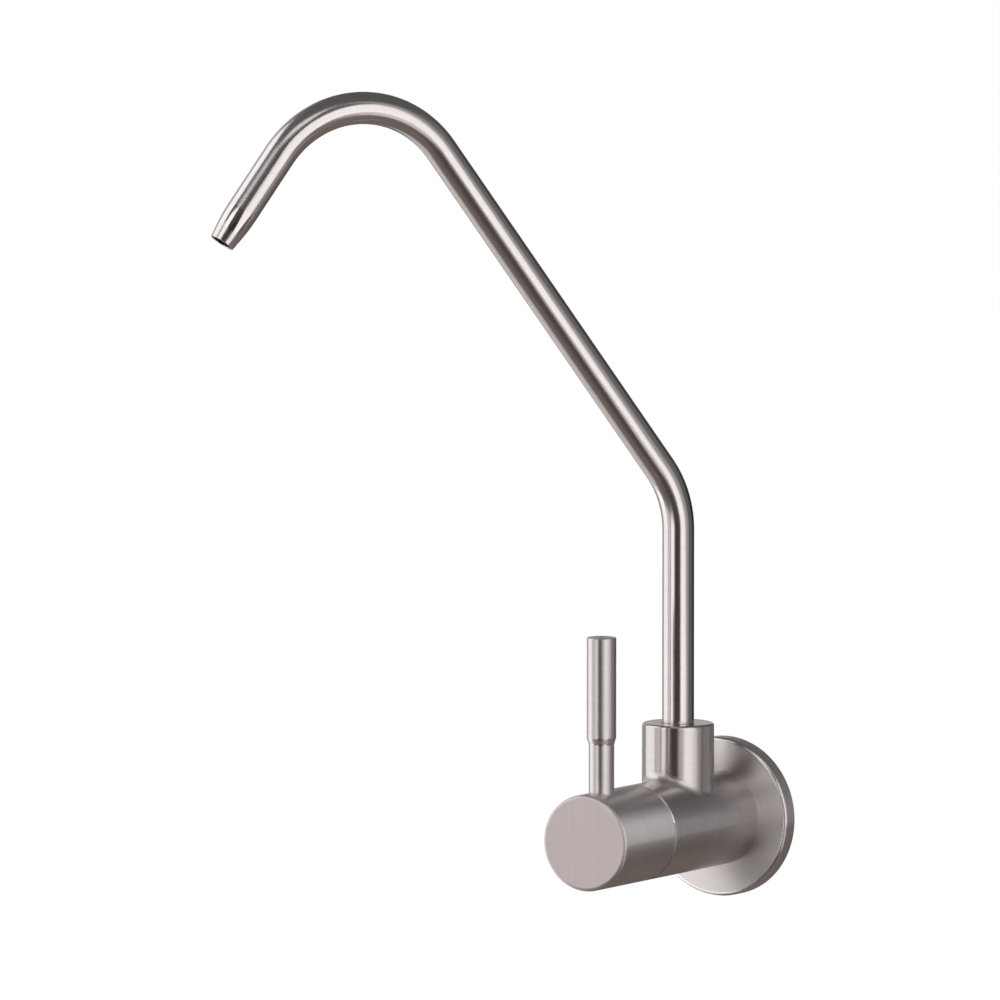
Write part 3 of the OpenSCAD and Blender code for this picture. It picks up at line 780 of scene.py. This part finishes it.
def makeSpout(size, paint):
    place, stations, length = spoutRoute(size)
    bore = size["r"] - size["wall"]
    taper = length - size["swage"]
    outline = [
        (bore, 0, size["startBore"]),
        (size["r"], 0, size["startEdge"]),
        (size["r"], taper, size["ease"]),
        (size["endR"], length, size["lip"]),
        (size["endR"] - size["wall"], length, size["lip"]),
        (bore, taper, size["ease"]),
    ]
    skin = newSkin()
    swing = math.radians(size["swing"])
    sideways = np.array([math.cos(swing), -math.sin(swing), 0])
    angle = np.linspace(0, 2 * math.pi, size["cols"] + 1)
    for run, edge in roundedRuns(outline, True):
        spots = np.array(run)
        if len(run) == 2 and abs(spots[1, 1] - spots[0, 1]) > size["longRun"]:
            low, high = sorted(spots[:, 1])
            inner = [s for s in stations if low + size["rowGap"] < s < high - size["rowGap"]]
            rows = np.array([low] + inner + [high])
            if spots[1, 1] < spots[0, 1]:
                rows = rows[::-1]
            share = ((rows - spots[0, 1]) / (spots[1, 1] - spots[0, 1]))[:, None]
            spots = spots[0] * (1 - share) + spots[1] * share
        shape = (len(spots), size["cols"] + 1, 3)
        points, shade, brush, lay = (np.empty(shape) for _ in range(4))
        for row, (r, s, outR, outS) in enumerate(spots):
            centre, forward, out = place(s)
            ray = np.outer(np.cos(angle), out) + np.outer(np.sin(angle), sideways)
            points[row] = centre + r * ray
            shade[row] = outR * ray + outS * forward
            lay[row] = -outR * forward + outS * ray
            brush[row] = np.stack([np.full(len(angle), s), r * np.cos(angle), r * np.sin(angle)], -1)
        addPatch(skin, points * mm, shade, brush * mm, lay, edge)
    makePiece("spout_bent_tube", skin, paint, "spout", ["spout_tube"])


# Inlet shank: pipe thread outside, key socket in the end, bore through to the valve
shankSkin = {
    "outer": 16,  # reach into the wall
    "root": 1,  # end of the thread
    "waistR": 9.3,
    "socket": 6.5,  # screwed into the body from here on
    "end": 16,
    "r": 10.4775,
    "tip": 1,
    "bore": 6,
    "edge": 0.2,
    "fineEdge": 0.1,
    "keySides": 6,
    "keyFlats": 12.4,
    "keyDepth": 9,
    "pitch": 1.814,
    "depth": 1.0,
    "groove": 0.42,  # half a groove and its flank, in pitches
    "flank": 0.30,
    "fadeGap": 0.4,  # the thread runs out before the root
    "fade": 1.6,
    "rowsPerTurn": 22,
    "slopeStep": 1e-3,
    "cols": 96,
}


def makeShank(size, paint):
    skin = newSkin()
    cols, tip, small = size["cols"], size["tip"], size["slopeStep"]
    angle = np.linspace(0, 2 * math.pi, cols + 1)
    axis, side, other = np.array([0.0, -1, 0]), np.array([0.0, 0, 1]), np.array([-1.0, 0, 0])
    ray = np.outer(np.cos(angle), side) + np.outer(np.sin(angle), other)

    # radius by the thread's phase: flat crest and root, soft flanks
    def threadR(h, turn):
        phase = (h / size["pitch"] - turn / (2 * math.pi)) % 1.0
        dip = np.clip((size["groove"] - np.abs(phase - 0.5)) / size["flank"], 0, 1)
        dip = dip * dip * (3 - 2 * dip)
        fade = np.clip((size["root"] - size["fadeGap"] - h) / size["fade"], 0, 1)
        lead = size["r"] - tip + np.clip(h + size["outer"], 0, tip)
        return np.minimum(size["r"] - size["depth"] * dip * fade, lead)

    rows = np.arange(-size["outer"], size["root"], size["pitch"] / size["rowsPerTurn"])
    rows = np.append(rows[rows < size["root"] - small], size["root"])
    h, turn = np.meshgrid(rows, angle, indexing="ij")
    r = threadR(h, turn)
    slopeH = (threadR(h + small, turn) - threadR(h - small, turn)) / (2 * small)
    slopeT = (threadR(h, turn + small) - threadR(h, turn - small)) / (2 * small) / r
    around = np.cross(axis, ray)
    shade = ray[None] - slopeH[..., None] * axis - slopeT[..., None] * around[None]
    shade /= np.linalg.norm(shade, axis=-1, keepdims=True)
    points = h[..., None] * axis + r[..., None] * ray[None]
    brush = np.stack([h, r * np.cos(turn), r * np.sin(turn)], -1)
    addPatch(skin, points * mm, shade, brush * mm, -axis, 0.0)

    # inside the flange and the body, then back through the bore
    low, high = -size["outer"], size["keyDepth"] - size["outer"]
    edge, fine = size["edge"], size["fineEdge"]
    run = [
        (size["r"], size["root"]),
        (size["waistR"], size["root"], edge),
        (size["waistR"], size["socket"], edge),
        (size["r"], size["socket"], fine),
        (size["r"], size["end"] - tip, fine),
        (size["r"] - tip, size["end"], fine),
        (size["bore"], size["end"], edge),
        (size["bore"], high),
    ]
    addTurned(skin, roundedRuns(run, False), (0, 0, 0), axis, side, cols)

    # key socket: flats between the wall end and the bore's step
    per = cols // size["keySides"]
    for k in range(size["keySides"]):
        part = slice(k * per, (k + 1) * per + 1)
        toFlat = (k + 0.5) * 2 * math.pi / size["keySides"]
        reach = size["keyFlats"] / 2 / np.cos(angle[part] - toFlat)
        corner = reach[:, None] * ray[part]
        facing = -(math.cos(toFlat) * side + math.sin(toFlat) * other)
        points = np.stack([corner + low * axis, corner + high * axis])
        brush = np.stack([np.broadcast_to([0, 0, z], corner.shape) + corner for z in (low, high)])
        addPatch(skin, points * mm, np.broadcast_to(facing, points.shape), brush * mm, axis, 0.0)
        for level, ringR in ((low, size["r"] - tip), (high, size["bore"])):
            ring = np.stack([corner + level * axis, ringR * ray[part] + level * axis])
            addPatch(skin, ring * mm, np.broadcast_to(-axis, ring.shape), ring * mm, ray[part], 0.0)
    makePiece("inlet_threaded_shank", skin, paint, "tap_body", ["inlet_shank"])


# Soft fillet where the boss grows out of the barrel, a ball rolled along the corner
filletSkin = {
    "ball": 3.0,
    "under": 0.4,  # its buried back lies this deep under both skins
    "brushRun": 2,  # width of the brushed band, in ball radii
    "cols": 180,
    "steps": 12,
}


def makeFillet(size, body, paint):
    ball, big, small = size["ball"], body["barrelR"], body["bossR"]
    angle = np.linspace(0, 2 * math.pi, size["cols"] + 1)
    out = np.stack([np.cos(angle), np.sin(angle), np.zeros_like(angle)], -1)
    axis = np.array([0, -body["bossAt"], 0])
    middle = axis + (small + ball) * out
    middle[:, 2] = np.sqrt((big + ball) ** 2 - middle[:, 0] ** 2)
    toBoss = -out
    toBarrel = -middle * np.array([1, 0, 1]) / (big + ball)
    wide = np.arccos(np.clip((toBoss * toBarrel).sum(1), -1, 1))
    share = np.linspace(0, 1, size["steps"] + 1)[:, None]
    arm = (np.sin((1 - share) * wide)[..., None] * toBoss + np.sin(share * wide)[..., None] * toBarrel)
    arm /= np.sin(wide)[:, None]
    skin = newSkin()
    points = middle + ball * arm
    lay = np.gradient(points, axis=0)
    lay /= np.linalg.norm(lay, axis=-1, keepdims=True)
    down = np.broadcast_to(share * ball * size["brushRun"], points.shape[:2])
    brush = np.stack([down, points[..., 0], points[..., 1]], -1)
    addPatch(skin, points * mm, -arm, brush * mm, lay, 0.0)
    deep = axis + (small - size["under"]) * out
    deep[:, 2] = np.sqrt(big ** 2 - deep[:, 0] ** 2) - size["under"]
    for face in (np.stack([points[0], deep]), np.stack([deep, points[-1]])):
        addPatch(skin, face * mm, np.broadcast_to(-out, face.shape), face * mm, out, 0.0)
    makePiece("boss_fillet", skin, paint, "tap_body", [])


satinTurned = steelFinish(satin, linesFromMesh)
tubePaint = steelFinish(tubeSatin, linesFromMesh)
shankPaint = steelFinish(plainTurned, linesFromMesh)
bodyPaint = steelFinish(barrelSatin, linesOnBody)
handlePaint = steelFinish(handleSatin, linesOnHandle)
flangePaint = steelFinish(flangeSatin, linesFromMesh)
inner = {name: innerFinish(name, look) for name, look in innerLooks.items()}
print("finishes mixed:", len(bpy.data.materials))

makeFlange(flangeSkin, flangePaint)
makeLever(leverSkin, satinTurned)
makeSpout(spoutSkin, tubePaint)
makeShank(shankSkin, shankPaint)
makeFillet(filletSkin, bodySkin, satinTurned)

rings = ["shank_washer", "seat_seal", "cartridge_o_ring", "spindle_o_rings", "spout_o_rings"]
nodePaints = {
    bodyPaint: ["valve_body"],
    handlePaint: ["handle_barrel"],
    inner["turnedBrass"]: ["cartridge_housing", "spindle", "spout_spigot"],
    inner["firedCeramic"]: ["fixed_disc", "moving_disc"],
    inner["mouldedNylon"]: ["thrust_washer", "spout_glide_ring"],
    inner["sealRubber"]: rings,
    inner["darkScrew"]: ["spindle_circlip", "handle_grub_screw", "spout_lock_screw"],
}
for paint, names in nodePaints.items():
    for name in names:
        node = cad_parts[name]
        if node.material_slots:
            node.material_slots[0].material = paint
        else:
            node.data.materials.append(paint)
print("nodes painted:", sum(len(names) for names in nodePaints.values()))

shielded = {name: box["lights"] for name, box in softboxes.items() if "lights" in box}
for name, pieces in shielded.items():
    shieldLamp(name, pieces)
print("lamps shielded:", ", ".join(shielded))
